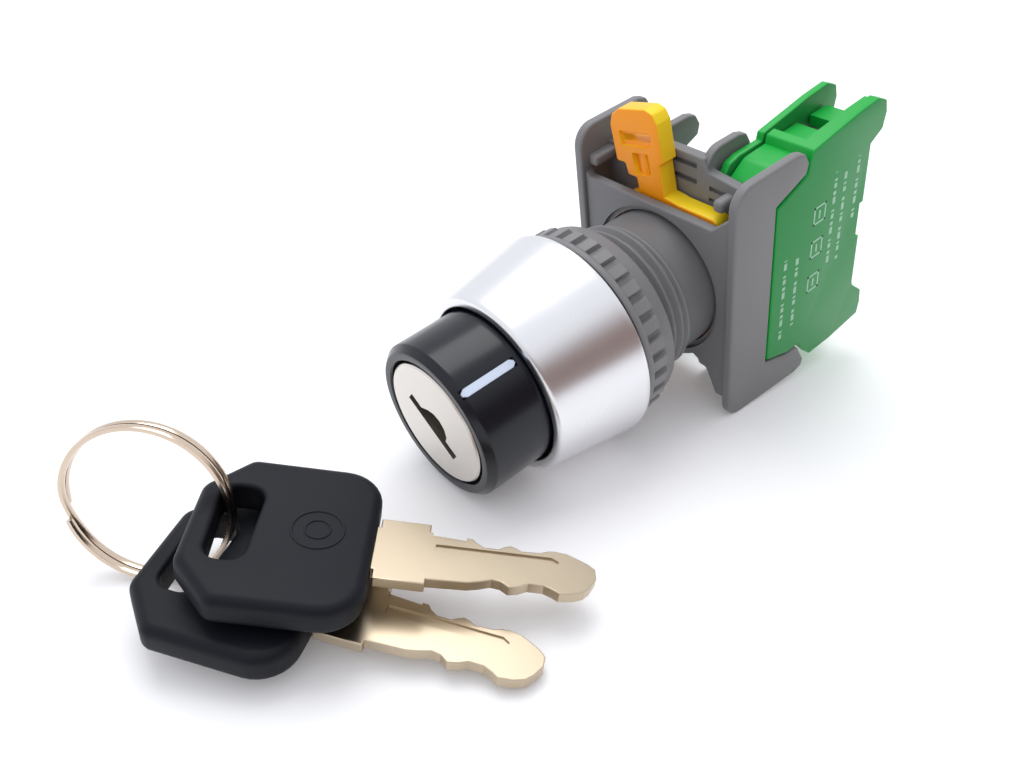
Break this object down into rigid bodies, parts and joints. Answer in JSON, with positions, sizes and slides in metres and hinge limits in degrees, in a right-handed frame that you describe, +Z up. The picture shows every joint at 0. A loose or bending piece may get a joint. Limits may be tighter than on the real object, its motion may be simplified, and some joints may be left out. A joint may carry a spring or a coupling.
{
  "type": "selector key switch",
  "caption": "Key-operated selector switch for a 22 mm panel hole with ring nut, holder, lock lever and contact block, beside its two keys on a split ring.",
  "frame": {"origin": "middle of the bounding box, on the table that the switch and its keys lie on", "axes": "+Z up from the table, +Y from the keys towards the contact block, +X to the right of someone who faces the knob"},
  "size_m": [0.049, 0.1118, 0.0419],
  "materials": {
    "aluminium": "satin turned",
    "grey_plastic": "fine matte grain",
    "black_gloss": "high gloss",
    "white_ink": "satin",
    "nickel": "satin nickel plate",
    "brass": "stamped",
    "spring_steel": "drawn",
    "black_rubber": "matte",
    "orange_plastic": "moulded satin",
    "green_plastic": "moulded satin",
    "white_plastic": "moulded",
    "silver_tip": "polished",
    "soft_black": "soft sheen"
  },
  "bodies": {
    "switch_base": {"bezel": "aluminium", "gasket": "black_rubber", "operator_barrel": "grey_plastic", "lock_shell": "nickel", "pusher_guide": "grey_plastic", "holder": "grey_plastic", "block_housing": "green_plastic", "block_cover": "green_plastic", "fixed_contact_top": "brass", "fixed_contact_bottom": "brass", "fixed_tip_top": "silver_tip", "fixed_tip_bottom": "silver_tip", "clamp_plate_top": "spring_steel", "clamp_plate_bottom": "spring_steel", "pusher_spring_left": "spring_steel", "pusher_spring_right": "spring_steel", "return_spring": "spring_steel"},
    "rotor": {"knob": "black_gloss", "knob_marker": "white_ink", "lock_plug": "nickel", "retaining_clip": "spring_steel", "cam": "white_plastic", "wafer_spring_1": "spring_steel", "wafer_spring_2": "spring_steel", "wafer_spring_3": "spring_steel", "wafer_spring_4": "spring_steel", "wafer_spring_5": "spring_steel"},
    "right_pusher": {"pusher_right": "white_plastic"},
    "left_pusher": {"pusher_left": "white_plastic"},
    "plunger": {"block_plunger": "white_plastic", "contact_spring": "spring_steel"},
    "bridge": {"contact_bridge": "brass", "bridge_tip_top": "silver_tip", "bridge_tip_bottom": "silver_tip"},
    "lever": {"lock_lever": "orange_plastic"},
    "nut": {"ring_nut": "grey_plastic"},
    "screw_top": {"terminal_screw_top": "spring_steel"},
    "screw_bottom": {"terminal_screw_bottom": "spring_steel"},
    "ring": {"split_ring": "nickel"},
    "key_two": {"key_2_bow": "soft_black", "key_2_blade": "nickel"},
    "key_one": {"key_1_bow": "soft_black", "key_1_blade": "nickel"},
    "wafer_body_1": {"wafer_1": "brass"},
    "wafer_body_2": {"wafer_2": "brass"},
    "wafer_body_3": {"wafer_3": "brass"},
    "wafer_body_4": {"wafer_4": "brass"},
    "wafer_body_5": {"wafer_5": "brass"}
  },
  "joints": [
    {"name": "key_turn", "type": "hinge", "parent": "switch_base", "child": "rotor", "pos_m": [-0.00656, 0.00713, 0.01465], "axis": [0, -0.9867, -0.1628], "range_deg": [0, 90]},
    {"name": "right_pusher_slide", "type": "slide", "parent": "switch_base", "child": "right_pusher", "axis": [0, 0.9867, 0.1628], "range_m": [0, 0.002], "deforming": ["pusher_spring_right"]},
    {"name": "left_pusher_slide", "type": "slide", "parent": "switch_base", "child": "left_pusher", "axis": [0, 0.9867, 0.1628], "range_m": [-0.002, 0], "deforming": ["pusher_spring_left"]},
    {"name": "plunger_slide", "type": "slide", "parent": "switch_base", "child": "plunger", "axis": [0, 0.9867, 0.1628], "range_m": [0, 0.002], "deforming": ["return_spring", "contact_spring"]},
    {"name": "bridge_slide", "type": "slide", "parent": "switch_base", "child": "bridge", "axis": [0, 0.9867, 0.1628], "range_m": [0, 0.0016]},
    {"name": "lever_turn", "type": "hinge", "parent": "switch_base", "child": "lever", "pos_m": [-0.00656, 0.02687, 0.01791], "axis": [0, 0.9867, 0.1628], "range_deg": [0, 25]},
    {"name": "nut_turn", "type": "hinge", "parent": "switch_base", "child": "nut", "pos_m": [-0.00656, 0.01108, 0.0153], "axis": [0, 0.9867, 0.1628], "continuous": true},
    {"name": "screw_top_turn", "type": "hinge", "parent": "switch_base", "child": "screw_top", "pos_m": [0.00279, 0.04759, 0.03359], "axis": [0, 0.9867, 0.1628], "continuous": true},
    {"name": "screw_bottom_turn", "type": "hinge", "parent": "switch_base", "child": "screw_bottom", "pos_m": [0.00279, 0.05104, 0.01267], "axis": [0, 0.9867, 0.1628], "continuous": true},
    {"name": "keys_lift", "type": "slide", "parent": "switch_base", "child": "ring", "axis": [0, 0, 1], "range_m": [0, 0.03]},
    {"name": "key_2_swing", "type": "hinge", "parent": "ring", "child": "key_two", "pos_m": [-0.01668, -0.04816, 0.01007], "axis": [0.68, -0.709, 0.187], "range_deg": [0, 40]},
    {"name": "key_1_swing", "type": "hinge", "parent": "key_two", "child": "key_one", "pos_m": [-0.01668, -0.04816, 0.01007], "axis": [0.68, -0.709, 0.187], "range_deg": [0, 60]},
    {"name": "wafer_1_slide", "type": "slide", "parent": "rotor", "child": "wafer_body_1", "axis": [0.7859, 0.1007, -0.6102], "range_m": [0, 0.0008], "deforming": ["wafer_spring_1"]},
    {"name": "wafer_2_slide", "type": "slide", "parent": "rotor", "child": "wafer_body_2", "axis": [0.7859, 0.1007, -0.6102], "range_m": [0, 0.0008], "deforming": ["wafer_spring_2"]},
    {"name": "wafer_3_slide", "type": "slide", "parent": "rotor", "child": "wafer_body_3", "axis": [0.7859, 0.1007, -0.6102], "range_m": [0, 0.0008], "deforming": ["wafer_spring_3"]},
    {"name": "wafer_4_slide", "type": "slide", "parent": "rotor", "child": "wafer_body_4", "axis": [0.7859, 0.1007, -0.6102], "range_m": [0, 0.0008], "deforming": ["wafer_spring_4"]},
    {"name": "wafer_5_slide", "type": "slide", "parent": "rotor", "child": "wafer_body_5", "axis": [0.7859, 0.1007, -0.6102], "range_m": [0, 0.0008], "deforming": ["wafer_spring_5"]}
  ],
  "couplings": [
    {"joint": "right_pusher_slide", "follows": "key_turn", "m_per_rad": 0.0012732},
    {"joint": "left_pusher_slide", "follows": "key_turn", "m_per_rad": -0.0012732},
    {"joint": "plunger_slide", "follows": "key_turn", "m_per_rad": 0.0012732},
    {"joint": "bridge_slide", "follows": "key_turn", "m_per_rad": 0.0010185},
    {"joint": "wafer_2_slide", "follows": "wafer_1_slide", "ratio": 1},
    {"joint": "wafer_3_slide", "follows": "wafer_1_slide", "ratio": 1},
    {"joint": "wafer_4_slide", "follows": "wafer_1_slide", "ratio": 1},
    {"joint": "wafer_5_slide", "follows": "wafer_1_slide", "ratio": 1}
  ]
}
